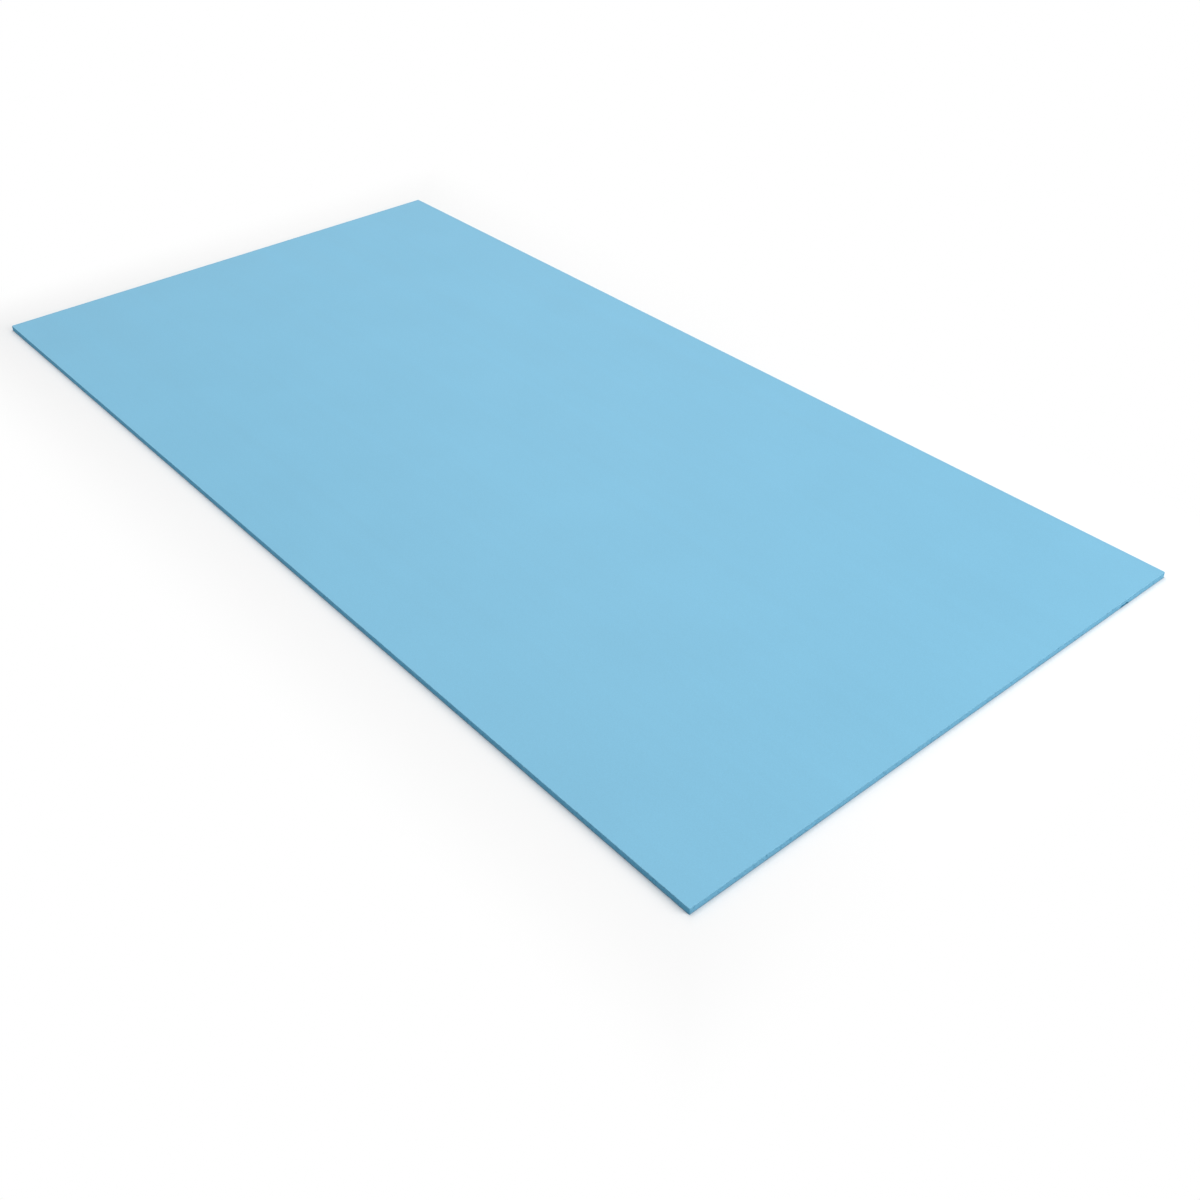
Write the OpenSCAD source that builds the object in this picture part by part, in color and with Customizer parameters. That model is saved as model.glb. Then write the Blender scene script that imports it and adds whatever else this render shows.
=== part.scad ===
// Extruded polystyrene (XPS) insulation board: one flat sheet of stock, cut square,
// with slightly worn arrises and one small chip on its lower near arris.
// Millimetres. X runs along the length, Y across the width, Z up from the underside.
// The origin is the middle of the underside.

/* [Board] */
// Length of the board
board_l = 1200; // [300:50:2500]
// Width of the board
board_w = 600; // [300:50:1250]
// Thickness of the board
board_t = 6; // [4:1:50]

/* [Edges] */
// Radius of each corner, seen from above
corner_r = 1.2; // [1:0.1:6]
// Radius worn onto every arris of the foam
arris_r = 0.4; // [0.1:0.1:0.8]

/* [Chip] */
// Length of each of the chip's scoops along the arris
scoop_l = 6.5; // [4:0.5:12]
// Depth of a scoop, measured square into the arris
scoop_d = 1.6; // [0.6:0.1:2]
// Number of scoops that make up the chip
scoop_n = 2; // [1:1:5]
// Distance from the near right corner to the middle of the first scoop
chip_from_corner = 61; // [30:1:120]
// Spacing of the scoops along the arris
scoop_pitch = 6.5; // [3:0.5:12]

/* [Hidden] */
foam_blue = [0.54, 0.77, 0.89];
// Radius of the ball that leaves a scoop of that length and depth
scoop_r = (pow(scoop_l / 2, 2) + pow(scoop_d, 2)) / (2 * scoop_d);
// The ball's centre lies outside the arris, on the line that halves its right angle
scoop_out = (scoop_r - scoop_d) / sqrt(2);
$fn = 64;

// Rectangle a by b about the origin, its corners rounded to r
module rounded_rect(a, b, r) {
    square([a - 2 * r, b], center = true);
    square([a, b - 2 * r], center = true);
    for (x = [-1, 1], y = [-1, 1])
        translate([x * (a / 2 - r), y * (b / 2 - r)]) circle(r);
}

// Strip of board along X, w wide and l long, with worn long arrises
module strip(l, w) {
    rotate([90, 0, 90])
        linear_extrude(l, center = true) rounded_rect(w, board_t, arris_r);
}

// Round post that carries the worn arrises round one corner of the board
module corner_post() {
    rotate_extrude() intersection() {
        rounded_rect(2 * corner_r, board_t, arris_r);
        translate([0, -board_t / 2]) square([corner_r, board_t]);
    }
}

// The whole sheet, with every arris and corner eased, about its own centre
module sheet() {
    strip(board_l - 2 * corner_r, board_w);
    rotate(90) strip(board_w - 2 * corner_r, board_l);
    for (x = [-1, 1], y = [-1, 1])
        translate([x * (board_l / 2 - corner_r), y * (board_w / 2 - corner_r), 0]) corner_post();
}

// Foam broken off the lower arris of the near end, close to the right corner
module chip() {
    for (i = [0 : scoop_n - 1])
        translate([board_l / 2 + scoop_out, board_w / 2 - chip_from_corner - i * scoop_pitch, -scoop_out])
            sphere(scoop_r);
}

module insulation_board() {
    color(foam_blue) difference() {
        translate([0, 0, board_t / 2]) sheet();
        chip();
    }
}

insulation_board();
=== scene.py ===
"""The finished look of a thin sheet of blue XPS foam: its cut edges, its skin and its studio."""

import math

import bpy
import numpy as np
from bpy.props import FloatProperty, FloatVectorProperty, IntProperty, PointerProperty
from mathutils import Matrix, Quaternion, Vector, noise


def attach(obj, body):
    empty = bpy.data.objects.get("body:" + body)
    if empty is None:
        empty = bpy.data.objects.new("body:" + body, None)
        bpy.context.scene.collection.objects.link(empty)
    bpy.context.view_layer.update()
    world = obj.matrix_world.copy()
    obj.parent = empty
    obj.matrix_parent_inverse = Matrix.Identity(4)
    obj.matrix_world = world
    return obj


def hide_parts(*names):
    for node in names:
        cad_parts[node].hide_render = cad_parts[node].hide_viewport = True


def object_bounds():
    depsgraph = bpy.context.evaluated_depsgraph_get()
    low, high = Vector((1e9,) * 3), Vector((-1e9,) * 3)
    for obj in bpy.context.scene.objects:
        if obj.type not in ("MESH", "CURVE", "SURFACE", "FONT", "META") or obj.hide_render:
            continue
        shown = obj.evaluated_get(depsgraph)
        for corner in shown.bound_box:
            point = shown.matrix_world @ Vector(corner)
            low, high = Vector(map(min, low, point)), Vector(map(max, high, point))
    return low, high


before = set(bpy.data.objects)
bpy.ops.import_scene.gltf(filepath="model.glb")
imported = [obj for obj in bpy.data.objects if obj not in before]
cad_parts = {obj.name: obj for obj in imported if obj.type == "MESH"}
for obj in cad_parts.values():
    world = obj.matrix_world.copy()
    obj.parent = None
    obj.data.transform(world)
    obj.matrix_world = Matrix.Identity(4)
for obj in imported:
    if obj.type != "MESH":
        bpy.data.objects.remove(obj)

bl_info = {
    "name": "XPS Insulation Board",
    "version": (1, 0, 0),
    "blender": (4, 5, 0),
    "location": "View3D > Sidebar > Foam Board",
    "description": "A thin sheet of extruded polystyrene foam with cut edges, and a pale studio round it",
    "category": "Object",
}

NODE = "insulation_board"
BODY = "root"
MM = 0.001  # a millimetre, in metres
WHITE = (1.0, 1.0, 1.0)

CAD_LOW, CAD_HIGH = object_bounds()
HALF_LENGTH = CAD_HIGH.x
HALF_WIDTH = CAD_HIGH.y
THICKNESS = CAD_HIGH.z


# ---------------------------------------------------------------- settings


class FoamSheetSizes(bpy.types.PropertyGroup):
    """Sizes of the sheet's edges and of the marks on it."""

    corner_radius: FloatProperty(
        name="Corner radius", description="Radius of each corner, seen from above",
        default=1.2 * MM, min=0.8 * MM, max=2.0 * MM, unit="LENGTH", precision=4,
    )
    arris_radius: FloatProperty(
        name="Arris radius", description="Radius worn onto every arris",
        default=0.4 * MM, min=0.1 * MM, max=0.7 * MM, unit="LENGTH", precision=4,
    )
    torn_cells: FloatProperty(
        name="Torn cells", description="Depth to which the blade has torn the foam's cells",
        default=0.10 * MM, min=0.0, max=0.3 * MM, unit="LENGTH", precision=5,
    )
    blade_wander: FloatProperty(
        name="Blade wander", description="How far the cut strays from a straight line",
        default=0.14 * MM, min=0.0, max=0.5 * MM, unit="LENGTH", precision=5,
    )
    crumb_depth: FloatProperty(
        name="Crumb depth", description="Depth of the crumbs lost here and there along the arrises",
        default=0.28 * MM, min=0.0, max=0.5 * MM, unit="LENGTH", precision=5,
    )
    face_wave: FloatProperty(
        name="Face wave", description="Height of the slow waves left in the two faces",
        default=0.08 * MM, min=0.0, max=0.3 * MM, unit="LENGTH", precision=5,
    )
    scoops: IntProperty(
        name="Scoops", description="Number of scoops that make up the chip", default=2, min=0, max=5,
    )
    scoop_length: FloatProperty(
        name="Scoop length", description="Length of each scoop of the chip",
        default=6.5 * MM, min=4.0 * MM, max=12.0 * MM, unit="LENGTH", precision=4,
    )
    scoop_depth: FloatProperty(
        name="Scoop depth", description="Depth of each scoop, square into the arris",
        default=1.6 * MM, min=0.6 * MM, max=2.0 * MM, unit="LENGTH", precision=4,
    )
    scoop_pitch: FloatProperty(
        name="Scoop pitch", description="Spacing of the scoops along the arris",
        default=6.5 * MM, min=3.0 * MM, max=12.0 * MM, unit="LENGTH", precision=4,
    )
    chip_roughness: FloatProperty(
        name="Chip roughness", description="How far the broken foam in the chip is from smooth",
        default=0.4 * MM, min=0.0, max=0.5 * MM, unit="LENGTH", precision=5,
    )
    chip_from_corner: FloatProperty(
        name="Chip from corner", description="Distance from the near right corner to the first scoop",
        default=61.0 * MM, min=30.0 * MM, max=120.0 * MM, unit="LENGTH", precision=4,
    )


class FoamFinish(bpy.types.PropertyGroup):
    """Colours and roughness of the foam."""

    skin: FloatVectorProperty(
        name="Skin", description="Colour of the two extruded faces",
        default=(0.214, 0.516, 0.718), size=3, subtype="COLOR", min=0.0, max=1.0,
    )
    # The pale cut colour is a lit copy of the cut foam's colour: a painted highlight on proud cell rims,
    # and also the pale end of random flecks.
    pale_cut_and_highlight: FloatVectorProperty(
        name="Pale cut foam", description="Colour of the cut edges where torn cells stand proud",
        default=(0.314, 0.628, 0.814), size=3, subtype="COLOR", min=0.0, max=1.0,
    )
    # The deep cut colour is a shaded copy of the cut foam's colour: painted shade in the torn cells'
    # hollows and in pits, and also the dark end of random flecks.
    deep_cut_and_shade: FloatVectorProperty(
        name="Deep cut foam", description="Colour of the cut edges where cells have been torn out",
        default=(0.210, 0.464, 0.640), size=3, subtype="COLOR", min=0.0, max=1.0,
    )
    skin_roughness: FloatProperty(
        name="Skin roughness", description="Roughness of the extruded faces",
        default=0.50, min=0.0, max=1.0, subtype="FACTOR",
    )
    cut_roughness: FloatProperty(
        name="Cut roughness", description="Roughness of the cut edges",
        default=0.85, min=0.0, max=1.0, subtype="FACTOR",
    )
    gloss: FloatProperty(
        name="Gloss", description="How strongly the foam reflects, where 0.5 is plain plastic",
        default=0.2, min=0.0, max=1.0, subtype="FACTOR",
    )


class StudioSettings(bpy.types.PropertyGroup):
    """The floor, the light and the camera."""

    bounce: FloatVectorProperty(
        name="Bounce",
        description="Colour of the light thrown back by the floor, blue as from more such foam",
        default=(0.02, 0.38, 0.53), size=3, subtype="COLOR", min=0.0, max=1.0,
    )
    # Painted shade: the floor under the board is painted this dark blue, which stands in for shade in the
    # chip and at the foot of the edges.
    shade: FloatVectorProperty(
        name="Shade",
        description="Colour of the floor under the board, seen in the chip and at the foot of the edges",
        default=(0.07, 0.28, 0.41), size=3, subtype="COLOR", min=0.0, max=1.0,
    )
    shadow_reach: FloatProperty(
        name="Shadow reach", description="How far from the board its shadow has faded to plain white",
        default=0.12, min=0.01, unit="LENGTH",
    )
    world_level: FloatProperty(
        name="World level", description="Light from all round, where 1 lights a surface fully by itself",
        default=0.44, min=0.0, max=2.0,
    )
    front_power: FloatProperty(
        name="Front power", description="Power of the low lamp beyond the near end",
        default=18.2, min=0.0, unit="POWER",
    )
    back_power: FloatProperty(
        name="Back power", description="Power of the lamp behind the far right corner",
        default=5.7, min=0.0, unit="POWER",
    )
    high_power: FloatProperty(
        name="High power", description="Power of the high lamp above the far end",
        default=18.0, min=0.0, unit="POWER",
    )
    azimuth: FloatProperty(
        name="Azimuth", description="Way the camera looks: 0 along the width, 90 along the length",
        default=math.radians(49.927), subtype="ANGLE",
    )
    elevation: FloatProperty(
        name="Elevation", description="How steeply the camera looks down",
        default=math.radians(37.582), subtype="ANGLE",
    )
    roll: FloatProperty(
        name="Roll", description="Turn of the camera about its own line of sight",
        default=math.radians(-0.740), subtype="ANGLE",
    )
    distance: FloatProperty(
        name="Distance", description="From the camera to the spot on the board that it aims at",
        default=1.2566, min=0.1, unit="LENGTH",
    )
    aim: FloatVectorProperty(
        name="Aim", description="The spot aimed at, as shares of the half length and half width",
        default=(0.4829, -0.3901), size=2, min=-1.0, max=1.0,
    )
    lens: FloatProperty(
        name="Lens", description="Focal length on a sensor 36 mm wide",
        default=41.925, min=10.0, unit="CAMERA",
    )


# ---------------------------------------------------------------- shader maths


class Wire:
    """A shader socket's output. Sums on it add Math nodes to its tree."""

    def __init__(self, tree, socket=None):
        self.tree = tree
        self.socket = socket

    def node(self, kind, settings=None, inputs=None, output=0):
        """Adds a node: its settings first, and then the values or links of its sockets."""
        made = self.tree.nodes.new("ShaderNode" + kind)
        for name, value in (settings or {}).items():
            setattr(made, name, value)
        for name, value in (inputs or {}).items():
            if isinstance(value, Wire):
                self.tree.links.new(value.socket, made.inputs[name])
            else:
                made.inputs[name].default_value = value
        return Wire(self.tree, made.outputs[output] if len(made.outputs) else None)

    def maths(self, operation, *values):
        """Adds a Math node on these values, each a wire or a number."""
        return self.node("Math", {"operation": operation}, dict(enumerate(values)))

    def __add__(self, other):
        return self.maths("ADD", self, other)

    def __sub__(self, other):
        return self.maths("SUBTRACT", self, other)

    def __rsub__(self, other):
        return self.maths("SUBTRACT", other, self)

    def __mul__(self, other):
        return self.maths("MULTIPLY", self, other)

    def __abs__(self):
        return self.maths("ABSOLUTE", self)

    __radd__ = __add__
    __rmul__ = __mul__

    def least(self, other):
        return self.maths("MINIMUM", self, other)

    def most(self, other):
        return self.maths("MAXIMUM", self, other)

    def rise(self, start, end):
        """0 below start and 1 above end, with a smooth rise between them."""
        limits = {"From Min": start, "From Max": end, "To Min": 0.0, "To Max": 1.0}
        return self.node("MapRange", {"interpolation_type": "SMOOTHSTEP"}, {"Value": self, **limits})

    def between(self, low, high):
        """Colour low where this is 0, and colour high where it is 1."""
        # sockets 6 and 7, and output 2, are the Mix node's colours
        return self.node("Mix", {"data_type": "RGBA"}, {0: self, 6: low, 7: high}, output=2)


def rgba(colour, level=1.0):
    """A colour with each channel times level, and its alpha."""
    return (*[channel * level for channel in colour], 1.0)


def new_material(name):
    """A material with an empty tree, and a wire to start its nodes from."""
    material = bpy.data.materials.new(name)
    material.use_nodes = True
    material.node_tree.nodes.clear()
    return material, Wire(material.node_tree)


def seen_straight(start):
    """1 for rays from the camera, a mirror or glass, and 0 for rays that carry light about."""
    camera = start.node("LightPath", output="Is Camera Ray")
    mirror = start.node("LightPath", output="Is Glossy Ray")
    glass = start.node("LightPath", output="Is Transmission Ray")
    return (camera + mirror + glass).least(1.0)


def outside_board(place):
    """How far a place is outside the board's outline, and less than 0 inside it."""
    x = place.node("SeparateXYZ", inputs={0: place}, output="X")
    y = place.node("SeparateXYZ", inputs={0: place}, output="Y")
    return (abs(x) - HALF_LENGTH).most(abs(y) - HALF_WIDTH)


SKIN_BEGINS = 0.6  # how far in from the cut the skin begins, in arris radii
SKIN_WHOLE = 1.2  # how far in from the cut the skin is whole, in arris radii
SKIN_THINS = 0.12 * MM  # depth under a face at which the skin starts to give way to foam
SKIN_GONE = 0.3 * MM  # depth under a face at which there is only foam
SKIN_SPREAD = 0.06  # how much lighter or darker than its own colour the skin gets, as a share of it
TORN_CELL = 0.42 * MM  # size of the cells that the cut opens


def foam_material(finish, sizes):
    """Blue foam: a satin extruded skin on the faces, and open torn cells where it was cut or broken, with
    painted shade in their hollows and pits.
    """
    material, start = new_material("xps_foam")
    place = start.node("TexCoord", output="Object")
    height = place.node("SeparateXYZ", inputs={0: place}, output="Z")
    inset = 0 - outside_board(place)
    buried = height.least(THICKNESS - height)
    on_face = inset.rise(SKIN_BEGINS * sizes.arris_radius, SKIN_WHOLE * sizes.arris_radius)
    skin = on_face * (1 - buried.rise(SKIN_THINS, SKIN_GONE))

    def grain(size, stretch=(1.0, 1.0, 1.0), detail=2.0):
        """Noise from about -1 to 1, with grains of about that size."""
        stretched = place.node("Mapping", inputs={"Vector": place, "Scale": stretch})
        speckle = stretched.node("TexNoise", inputs={
            "Vector": stretched, "Scale": 1 / size, "Detail": detail,
        })
        return (speckle - 0.5) * 2

    def cells(size, output="Distance"):
        """Foam cells of about that size: how far out in its cell a place is, or each cell's own colour."""
        return place.node("TexVoronoi", inputs={"Vector": place, "Scale": 1 / size}, output=output)

    clouds = grain(110 * MM)
    streaks = grain(17 * MM, (0.03, 1.0, 1.0), 3.0)
    peel = grain(1.1 * MM)
    pores = cells(0.9 * MM)
    cups = cells(TORN_CELL)
    each_cell = place.node("SeparateColor", inputs={0: cells(TORN_CELL, "Color")}, output=0)
    # torn sets the relief of the cut cells, and also their painted shade: darker at each cup's bottom,
    # lighter at its rim.
    torn = cups * (0.35 + each_cell * 0.65)
    blade = grain(0.5 * MM, (0.02, 0.02, 1.0), 1.0)
    flecks = grain(1.5 * MM, detail=4.0)
    # pits sink the cut foam, and also darken its colour as painted shade.
    pits = grain(2.2 * MM, detail=4.0).rise(0.05, 0.45)
    patches = grain(5 * MM)

    skin_tone = 0.5 + clouds * 0.25 + streaks * 0.2 + peel * 0.35 + (pores - 0.5) * 0.5
    # The cut foam's colour has painted shade in torn cell hollows and pits, and a painted highlight on
    # proud rims. Blade marks, flecks and patches add random tone, and the flecks also stand in for light
    # and shade on torn clumps.
    cut_tone_and_shading = 0.42 + torn * 0.6 + blade * 0.15 + flecks * 0.5 + patches * 0.2 - pits * 0.65
    skin_colour = skin_tone.between(rgba(finish.skin, 1 - SKIN_SPREAD), rgba(finish.skin, 1 + SKIN_SPREAD))
    cut_colour_and_shading = cut_tone_and_shading.between(rgba(finish.deep_cut_and_shade), rgba(finish.pale_cut_and_highlight))

    skin_rough = finish.skin_roughness + streaks * 0.05 + peel * 0.06
    rough = (1 - skin) * finish.cut_roughness + skin * skin_rough

    skin_relief = peel * 0.014 + pores * 0.018 + streaks * 0.006
    cut_relief = torn * 0.16 + blade * 0.02 + flecks * 0.04 + patches * 0.04 - pits * 0.2
    relief = start.node("Bump", inputs={
        "Strength": 1.0, "Distance": MM, "Height": (1 - skin) * cut_relief + skin * skin_relief,
    })

    shader = start.node("BsdfPrincipled", inputs={
        "Base Color": skin.between(cut_colour_and_shading, skin_colour),
        "Roughness": rough,
        "Normal": relief,
        "Specular IOR Level": finish.gloss,
    })
    start.node("OutputMaterial", inputs={"Surface": shader})
    return material


# ---------------------------------------------------------------- the sheet's mesh

NEAR_END = 1  # the sides, counter-clockwise from above: left side, near end, right side, far end
CELL = 12.0 * MM  # size of the squares that the two faces are divided into
STEPS = 10  # columns of the edge in each square of the face
CHIP_STEPS = 3  # times as many columns where the chip is
CORNER_REACH = 6.0 * MM  # how far from a corner the even columns stop
CORNER_ENDS = 4  # columns from there to the start of the corner's round
CORNER_TURNS = 6  # columns round the corner
FACE_INSETS = (3.0 * MM, 2.0 * MM, 1.4 * MM, 0.9 * MM)  # rows of the edge that lie on a face
ARRIS_STEPS = 4  # rows round each arris
WALL_STEPS = 9  # rows down the cut between the two arrises
CORNER_SPREAD = 0.55  # how fast the corner's round grows over the rows that lie on a face
CRUMBLED = 0.6  # depth between two scoops of the chip, as a share of theirs
CRUMBS_BEGIN = 0.66  # how high, from 0 to 1, the lumps are where crumbs begin to be lost
CRUMBS_WHOLE = 0.86  # and where whole crumbs are lost

# Lumps: the share of each layer where there are several, its size, and the number of its pattern.
FACE_LUMPS = ((0.7, 180 * MM, 1), (0.3, 60 * MM, 2))
BLADE_LUMPS = ((0.65, 90 * MM, 3), (0.35, 22 * MM, 4))
TORN_LUMPS = ((0.6, 2.6 * MM, 5), (0.4, 1.3 * MM, 6))
CRUMB_SPOTS = (5 * MM, 7)
CRUMB_LUMPS = (1.6 * MM, 8)
CHIP_LUMPS = ((0.5, 3.5 * MM, 9), (0.5, 1.2 * MM, 10))
NEXT_PATTERN = Vector((17.0, 5.0, 0.0))  # how far off in the noise each pattern is from the one before


class Outline:
    """The columns of the edge, counter-clockwise round the sheet from its far left corner."""

    def __init__(self, sizes):
        self.sizes = sizes
        self.cell_lines = []  # for each side, where the squares of the faces begin and end along it
        self.columns = []  # for each side, where its even columns are
        self.starts = []  # for each side, the number of the column that each line meets
        count = 0
        for side in range(4):
            run = self.spans(side)[0] - CORNER_REACH
            lines = np.linspace(-run, run, round(2 * run / CELL) + 1)
            steps = [self.steps(side, *ends) for ends in zip(lines, lines[1:])]
            evens = [np.linspace(low, high, n, endpoint=False) for low, high, n in
                     zip(lines, lines[1:], steps)]
            self.cell_lines.append(lines)
            self.columns.append(np.append(np.concatenate(evens), run))
            self.starts.append(count + np.concatenate(([0], np.cumsum(steps))))
            count += len(self.columns[-1]) + 2 * (CORNER_ENDS - 1) + CORNER_TURNS + 1
        self.count = count

    @staticmethod
    def spans(side):
        """Half the length of a side, and how far it is from the middle."""
        return (HALF_LENGTH, HALF_WIDTH) if side % 2 == 0 else (HALF_WIDTH, HALF_LENGTH)

    def steps(self, side, low, high):
        """How many columns the edge has beside one square of the face."""
        chip_high = HALF_WIDTH - self.sizes.chip_from_corner + self.sizes.scoop_length
        chip_low = chip_high - self.sizes.scoops * self.sizes.scoop_pitch - self.sizes.scoop_length
        meets_chip = side == NEAR_END and low < chip_high and high > chip_low
        return STEPS * CHIP_STEPS if meets_chip else STEPS

    def ring(self, inset):
        """The points of the columns at one inset from the cut, and which way is out at each."""
        arris = self.sizes.arris_radius
        radius = self.sizes.corner_radius - min(inset, arris) + CORNER_SPREAD * max(inset - arris, 0)
        points, outs = [], []
        turn = np.linspace(-math.pi / 2, 0, CORNER_TURNS + 1)
        round_out = np.column_stack((np.cos(turn), np.sin(turn)))
        for side in range(4):
            half, reach = self.spans(side)
            line = self.columns[side]
            centre = np.array((half - inset - radius, inset + radius - reach))
            before = np.linspace(half - CORNER_REACH, centre[0], CORNER_ENDS + 1)[1:-1]
            after = np.linspace(centre[1], CORNER_REACH - reach, CORNER_ENDS + 1)[1:-1]
            straight = np.concatenate((line, before))
            local = np.concatenate((
                np.column_stack((straight, np.full(len(straight), inset - reach))),
                centre + radius * round_out,
                np.column_stack((np.full(len(after), half - inset), after)),
            ))
            local_out = np.concatenate((
                np.tile((0.0, -1.0), (len(straight), 1)),
                round_out,
                np.tile((1.0, 0.0), (len(after), 1)),
            ))
            quarter_turn = np.linalg.matrix_power(np.array(((0, 1), (-1, 0))), side)
            points.append(local @ quarter_turn)
            outs.append(local_out @ quarter_turn)
        return np.concatenate(points), np.concatenate(outs)

    def along(self):
        """How far along the cut each column is, and last the whole way round."""
        line, _ = self.ring(0.0)
        gaps = np.linalg.norm(np.roll(line, -1, axis=0) - line, axis=1)
        return np.concatenate(([0.0], np.cumsum(gaps)))


def edge_rows(arris):
    """The rows of the edge, from the top face to the underside: inset, height and tilt of each.

    A row's tilt is how far above the level it faces: a quarter turn on the top face, and 0 on the cut.
    """
    middle = THICKNESS / 2
    upper = [(inset, middle, math.pi / 2) for inset in FACE_INSETS]
    for step in range(ARRIS_STEPS + 1):
        tilt = math.pi / 2 * (1 - step / ARRIS_STEPS)
        upper.append((arris * (1 - math.cos(tilt)), middle - arris * (1 - math.sin(tilt)), tilt))
    wall = [(0.0, (middle - arris) * math.cos(math.pi * step / WALL_STEPS), 0.0)
            for step in range(1, WALL_STEPS)]
    lower = [(inset, -height, -tilt) for inset, height, tilt in reversed(upper)]
    return [(inset, middle + height, tilt) for inset, height, tilt in upper + wall + lower]


def lumps(point, size, pattern):
    """Smooth noise from 0 to 1, with lumps of about that size."""
    return 0.5 + 0.5 * noise.noise(point / size + NEXT_PATTERN * pattern)


def layered(point, layers):
    """The lumps of several layers added up."""
    return sum(share * lumps(point, size, pattern) for share, size, pattern in layers)


def smooth(low, high, value):
    """0 below low and 1 above high, with a smooth rise between them."""
    share = min(max((value - low) / (high - low), 0.0), 1.0)
    return share * share * (3 - 2 * share)


def face_wave(point, sizes):
    """How far a face lies inside the sheet's full thickness at a point."""
    return sizes.face_wave * layered(point, FACE_LUMPS)


def worn_edge(point, out, inset, tilt, sizes):
    """Where a point of the clean edge lies once the blade has wandered, torn and crumbled the foam."""
    level = Vector((*out, 0.0))
    facing = level * math.cos(tilt) + Vector((0.0, 0.0, math.sin(tilt)))
    near_cut = 1 - smooth(sizes.arris_radius, FACE_INSETS[0], inset)
    wander = sizes.blade_wander * layered(point, BLADE_LUMPS)
    torn = sizes.torn_cells * layered(point, TORN_LUMPS)
    spots = smooth(CRUMBS_BEGIN, CRUMBS_WHOLE, lumps(point, *CRUMB_SPOTS))
    crumbs = spots * lumps(point, *CRUMB_LUMPS)
    on_arris = abs(math.sin(2 * tilt))
    depth = torn * math.cos(tilt) + sizes.crumb_depth * crumbs * on_arris
    depth += face_wave(point, sizes) * abs(math.sin(tilt))
    return point - level * (wander * near_cut) - facing * depth


def scooped(point, sizes):
    """The point, or where it lies once the chip's scoops have taken it away.

    Each scoop is a rough ball. Between two of them the foam has crumbled away too, less deeply.
    """
    rough = sizes.chip_roughness * layered(point, CHIP_LUMPS)
    for half_step in range(2 * sizes.scoops - 1):
        depth = sizes.scoop_depth * (1.0 if half_step % 2 == 0 else CRUMBLED)
        radius = ((sizes.scoop_length / 2) ** 2 + depth ** 2) / (2 * depth)
        beyond = (radius - depth) / math.sqrt(2)
        across = HALF_WIDTH - sizes.chip_from_corner - half_step * sizes.scoop_pitch / 2
        centre = Vector((HALF_LENGTH + beyond, across, -beyond))
        away = point - centre
        if away.length < radius + rough:
            point = centre + away.normalized() * (radius + rough)
    return point


class BakeMap:
    """Where the faces and the edge go on a square map, so that a texture can be baked on it.

    The edge is cut into strips that lie one above another, and so it is held more finely than the faces.
    """

    NAME = "OFBake"
    MARGIN = 0.004  # bare border round each piece of the map
    FACE = 0.33  # height of each of the two faces
    STRIPS = 12  # how many strips the edge is cut into
    OVERRUN = 2.0 * MM  # room at a strip's end for the last of its columns

    def __init__(self, rows, along):
        """along is how far round the sheet each column is, and last the whole way round."""
        heights = [math.dist(one[:2], two[:2]) for one, two in zip(rows, rows[1:])]
        down = np.concatenate(([0.0], np.cumsum(heights)))
        self.down = down / down[-1]
        self.along = along
        self.length = along[-1] / self.STRIPS
        self.pitch = (1 - 2 * (self.FACE + self.MARGIN)) / self.STRIPS

    def face_spot(self, point, face):
        """face is 0 for the top and 1 for the underside."""
        across = self.MARGIN + (1 - 2 * self.MARGIN) * (point.x + HALF_LENGTH) / (2 * HALF_LENGTH)
        up = self.MARGIN + self.FACE * (point.y + HALF_WIDTH) / (2 * HALF_WIDTH)
        return across, up + face * (self.FACE + self.MARGIN)

    def edge_spot(self, column, end, row):
        """The spot of a corner of the faces between a column and the next, where end is one of the two."""
        strip = int(self.along[column] / self.length)
        share = (self.along[end] - strip * self.length) / (self.length + self.OVERRUN)
        low = 2 * (self.FACE + self.MARGIN) + strip * self.pitch
        return (self.MARGIN + (1 - 2 * self.MARGIN) * share,
                low + (self.pitch - self.MARGIN) * self.down[row])


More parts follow.
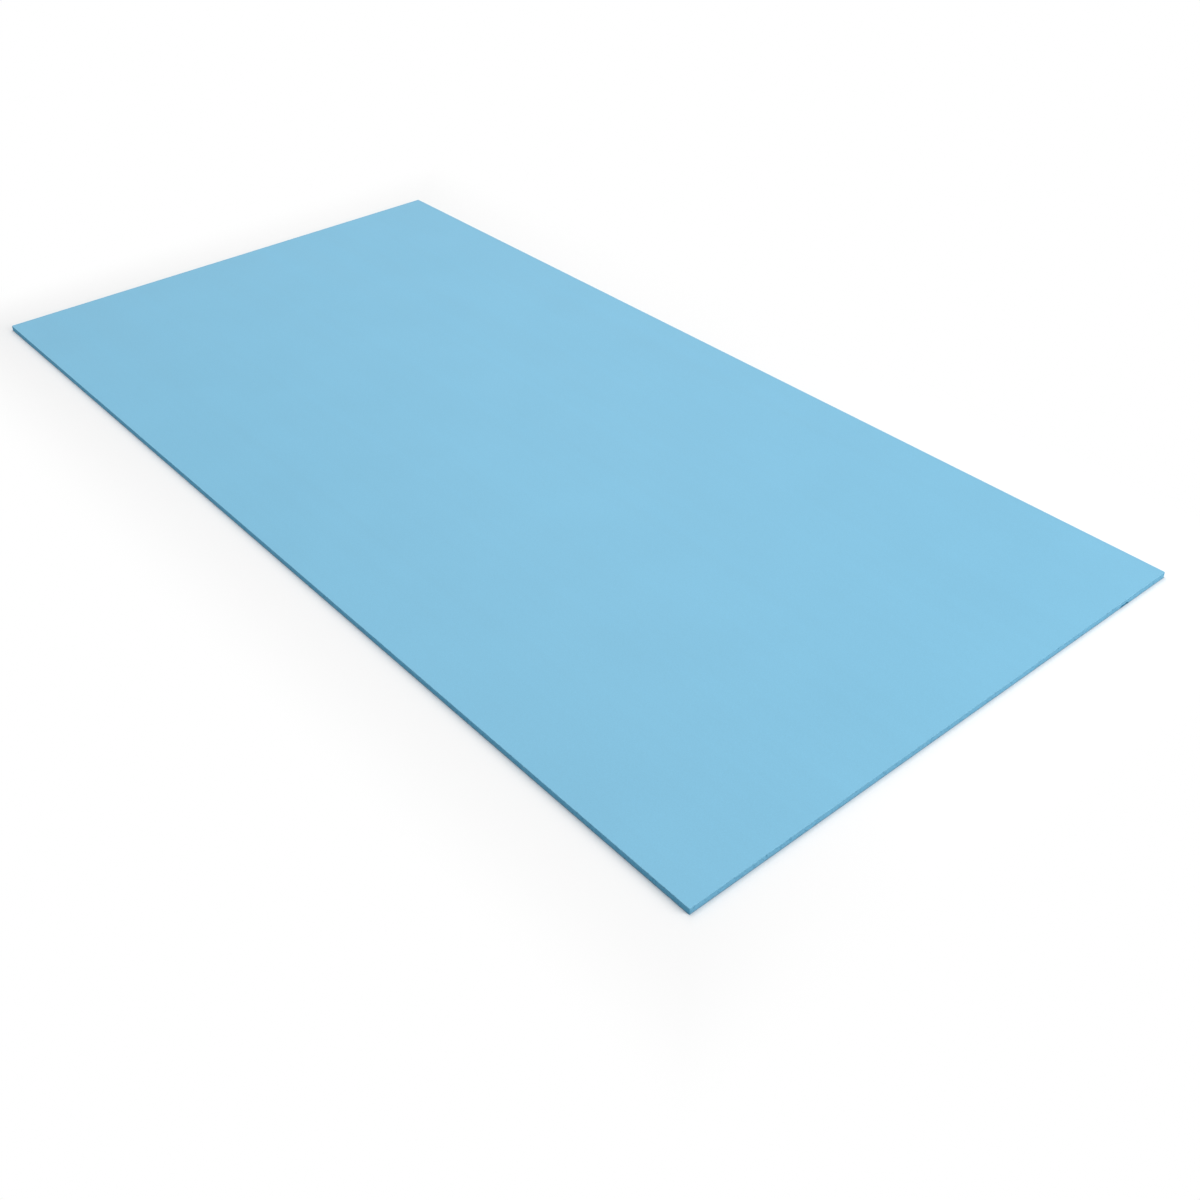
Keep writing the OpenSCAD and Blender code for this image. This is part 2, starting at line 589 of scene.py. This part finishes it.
class SheetBuilder:
    """The sheet's mesh as it grows: its points, and its faces with their spots on the bake map."""

    def __init__(self, sizes):
        self.sizes = sizes
        self.outline = Outline(sizes)
        self.rows = edge_rows(sizes.arris_radius)
        self.bake_map = BakeMap(self.rows, self.outline.along())
        self.points = []
        self.faces = []
        self.spots = []

    def add_points(self, points):
        first = len(self.points)
        self.points.extend(points)
        return np.arange(first, len(self.points))

    def add_face(self, corners, spots):
        self.faces.append(list(corners))
        self.spots.extend(spots)

    def edge(self):
        """The whole edge, from ring to ring. Returns the numbers of its points, a row for each ring."""
        numbers = []
        for inset, height, tilt in self.rows:
            ring, outs = self.outline.ring(inset)
            clean = [Vector((*spot, height)) for spot in ring]
            worn = [scooped(worn_edge(point, out, inset, tilt, self.sizes), self.sizes)
                    for point, out in zip(clean, outs)]
            numbers.append(self.add_points(worn))
        numbers = np.array([[*ring, ring[0]] for ring in numbers])
        for column in range(self.outline.count):
            for row in range(len(self.rows) - 1):
                corners = ((row, column), (row + 1, column), (row + 1, column + 1), (row, column + 1))
                self.add_face([numbers[corner] for corner in corners],
                              [self.bake_map.edge_spot(column, end, down) for down, end in corners])
        return numbers[:, :-1]

    def face(self, ring, height, face):
        """One of the two faces: even squares, and a border of pieces that take in the ring's columns."""
        up = 1 if face == 0 else -1
        lines = self.outline.cell_lines
        grid = []
        for x in lines[0]:
            for y in lines[1]:
                point = Vector((x, y, height))
                grid.append(point - Vector((0.0, 0.0, up * face_wave(point, self.sizes))))
        numbers = self.add_points(grid).reshape(len(lines[0]), len(lines[1]))
        for i in range(len(lines[0]) - 1):
            for j in range(len(lines[1]) - 1):
                corners = (numbers[i, j], numbers[i + 1, j], numbers[i + 1, j + 1], numbers[i, j + 1])
                self.flat_face(corners, face)
        rims = (numbers[:, 0], numbers[-1, :], numbers[::-1, -1], numbers[0, ::-1])
        for side, rim in enumerate(rims):
            starts = self.outline.starts[side]
            for cell, (first, last) in enumerate(zip(starts, starts[1:])):
                self.flat_face([*ring[first:last + 1], rim[cell + 1], rim[cell]], face)
            after = self.outline.starts[side + 1][0] if side < 3 else self.outline.count
            corner = [ring[column % self.outline.count] for column in range(starts[-1], after + 1)]
            self.flat_face([*corner, rim[-1]], face)

    def flat_face(self, corners, face):
        """Adds a face of the top, or of the underside, where it faces the other way."""
        ordered = corners if face == 0 else corners[::-1]
        spots = [self.bake_map.face_spot(self.points[corner], face) for corner in ordered]
        self.add_face(ordered, spots)

    def mesh(self, name):
        rings = self.edge()
        self.face(rings[0], THICKNESS, 0)
        self.face(rings[-1], 0.0, 1)
        mesh = bpy.data.meshes.new(name)
        mesh.from_pydata(self.points, [], self.faces)
        layer = mesh.uv_layers.new(name=BakeMap.NAME)
        layer.data.foreach_set("uv", np.array(self.spots, np.float32).ravel())
        mesh.shade_smooth()
        return mesh


def is_closed(mesh):
    """True if every edge of the mesh joins exactly two faces."""
    uses = np.zeros(len(mesh.edges), int)
    loops = np.zeros(len(mesh.loops), int)
    mesh.loops.foreach_get("edge_index", loops)
    np.add.at(uses, loops, 1)
    return bool((uses == 2).all())


# ---------------------------------------------------------------- the studio

FLOOR_REACH = 30  # half the floor's width, in half lengths of the board
FLOOR_HEIGHT = -0.05 * MM  # just clear of the board's underside
FLOOR_WHITE = 0.97  # how white the floor's paint is round the board
SHADE_FADE = 0.5 * MM  # how far either side of the board's outline the painted shade under it fades out
LAMP_SIZE = 1.2  # side of each square lamp
LAMP_DISTANCE = 2.2  # from each lamp to the middle of the board
FRONT_LAMP = (108, 27)  # azimuth and elevation of the way each lamp looks, in degrees
BACK_LAMP = (225, 45)
HIGH_LAMP = (270, 80)
SENSOR_WIDTH = 36.0  # of the camera, in millimetres


def floor_material(settings):
    """A floor that looks white and keeps the board's shadow, but throws little light back.

    Under the board it is painted the colour of foam in shade, as painted shade that shows in the chip and
    at the foot of the edges.
    """
    material, start = new_material("studio_floor")
    seen = seen_straight(start)
    beyond = outside_board(start.node("TexCoord", output="Object"))
    glow = beyond.rise(0.0, settings.shadow_reach)
    # The floor's colour is painted shade under the board, fading to white paint just outside its outline.
    outside = beyond.rise(-SHADE_FADE, SHADE_FADE)
    paint = outside.between(rgba(settings.shade), rgba(WHITE, FLOOR_WHITE))
    colour = seen.between(rgba(settings.bounce), paint)
    plain = start.node("BsdfDiffuse", inputs={"Color": colour})
    white = start.node("Emission", inputs={"Color": rgba(WHITE), "Strength": 1.0})
    mix = start.node("MixShader", inputs={0: seen * glow, 1: plain, 2: white})
    start.node("OutputMaterial", inputs={"Surface": mix})
    return material


def make_floor(settings):
    """A level square floor just under the board."""
    reach = FLOOR_REACH * HALF_LENGTH
    corners = [(x * reach, y * reach, FLOOR_HEIGHT) for x, y in ((-1, -1), (1, -1), (1, 1), (-1, 1))]
    mesh = bpy.data.meshes.new("studio_floor")
    mesh.from_pydata(corners, [], [(0, 1, 2, 3)])
    mesh.materials.append(floor_material(settings))
    floor = bpy.data.objects.new("studio_floor", mesh)
    bpy.context.scene.collection.objects.link(floor)


def make_world(settings):
    """Even light from all round, which looks white."""
    world = bpy.data.worlds.new("studio")
    world.use_nodes = True
    world.node_tree.nodes.clear()
    start = Wire(world.node_tree)
    light = start.node("Background", inputs={"Color": rgba(WHITE), "Strength": settings.world_level})
    white = start.node("Background", inputs={"Color": rgba(WHITE), "Strength": 1.0})
    mix = start.node("MixShader", inputs={0: seen_straight(start), 1: light, 2: white})
    start.node("OutputWorld", inputs={"Surface": mix})
    bpy.context.scene.world = world


def direction(azimuth, elevation):
    """The way that something looks: azimuth 0 is along +Y, and elevation is how steeply it looks down."""
    level = math.cos(elevation)
    return Vector((-math.sin(azimuth) * level, math.cos(azimuth) * level, -math.sin(elevation)))


def make_lamp(name, power, azimuth, elevation):
    """A square soft lamp that looks at the middle of the board."""
    light = bpy.data.lights.new(name, "AREA")
    light.shape = "SQUARE"
    light.size = LAMP_SIZE
    light.energy = power
    lamp = bpy.data.objects.new(name, light)
    ahead = direction(math.radians(azimuth), math.radians(elevation))
    lamp.rotation_mode = "QUATERNION"
    lamp.rotation_quaternion = ahead.to_track_quat("-Z", "Y")
    lamp.location = -ahead * LAMP_DISTANCE
    bpy.context.scene.collection.objects.link(lamp)


def make_camera(settings):
    """The camera, aimed at a spot on the board's top face."""
    camera_data = bpy.data.cameras.new("camera")
    camera_data.lens = settings.lens
    camera_data.sensor_width = SENSOR_WIDTH
    camera = bpy.data.objects.new("camera", camera_data)
    ahead = direction(settings.azimuth, settings.elevation)
    aim = Vector((settings.aim[0] * HALF_LENGTH, settings.aim[1] * HALF_WIDTH, THICKNESS))
    camera.rotation_mode = "QUATERNION"
    roll = Quaternion((0.0, 0.0, 1.0), settings.roll)
    camera.rotation_quaternion = ahead.to_track_quat("-Z", "Y") @ roll
    camera.location = aim - ahead * settings.distance
    bpy.context.scene.collection.objects.link(camera)
    bpy.context.scene.camera = camera


# ---------------------------------------------------------------- the add-on


class MakeFoamBoard(bpy.types.Operator):
    """Build the foam board with its worn edges, its chip and its finish"""

    bl_idname = "foam_board.make_board"
    bl_label = "Make Foam Board"

    def execute(self, context):
        sizes = context.scene.foam_sizes
        mesh = SheetBuilder(sizes).mesh("foam_board")
        if not is_closed(mesh):
            raise RuntimeError("the foam board's mesh has an open edge")
        mesh.materials.append(foam_material(context.scene.foam_finish, sizes))
        board = bpy.data.objects.new("foam_board", mesh)
        context.scene.collection.objects.link(board)
        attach(board, BODY)
        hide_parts(NODE)
        return {"FINISHED"}


class MakeStudio(bpy.types.Operator):
    """Build the floor, the light and the camera round the board"""

    bl_idname = "foam_board.make_studio"
    bl_label = "Make Studio"

    def execute(self, context):
        settings = context.scene.foam_studio
        make_floor(settings)
        make_world(settings)
        make_lamp("front_lamp", settings.front_power, *FRONT_LAMP)
        make_lamp("back_lamp", settings.back_power, *BACK_LAMP)
        make_lamp("high_lamp", settings.high_power, *HIGH_LAMP)
        make_camera(settings)
        context.scene.view_settings.view_transform = "Standard"
        return {"FINISHED"}


class FoamBoardPanel(bpy.types.Panel):
    """Sizes and finish of the foam board, and the studio round it"""

    bl_idname = "VIEW3D_PT_foam_board"
    bl_label = "Foam Board"
    bl_space_type = "VIEW_3D"
    bl_region_type = "UI"
    bl_category = "Foam Board"

    def draw(self, context):
        scene = context.scene
        for group, operator in ((scene.foam_sizes, None), (scene.foam_finish, MakeFoamBoard),
                                (scene.foam_studio, MakeStudio)):
            box = self.layout.box()
            for name in group.bl_rna.properties.keys():
                if name not in {"rna_type", "name"}:
                    box.prop(group, name)
            if operator:
                box.operator(operator.bl_idname)


CLASSES = (FoamSheetSizes, FoamFinish, StudioSettings, MakeFoamBoard, MakeStudio, FoamBoardPanel)


def register():
    for cls in CLASSES:
        bpy.utils.register_class(cls)
    bpy.types.Scene.foam_sizes = PointerProperty(type=FoamSheetSizes)
    bpy.types.Scene.foam_finish = PointerProperty(type=FoamFinish)
    bpy.types.Scene.foam_studio = PointerProperty(type=StudioSettings)


def unregister():
    for name in ("foam_sizes", "foam_finish", "foam_studio"):
        delattr(bpy.types.Scene, name)
    for cls in reversed(CLASSES):
        bpy.utils.unregister_class(cls)


def main():
    register()
    bpy.ops.foam_board.make_board()
    bpy.ops.foam_board.make_studio()


if __name__ == "__main__":
    main()
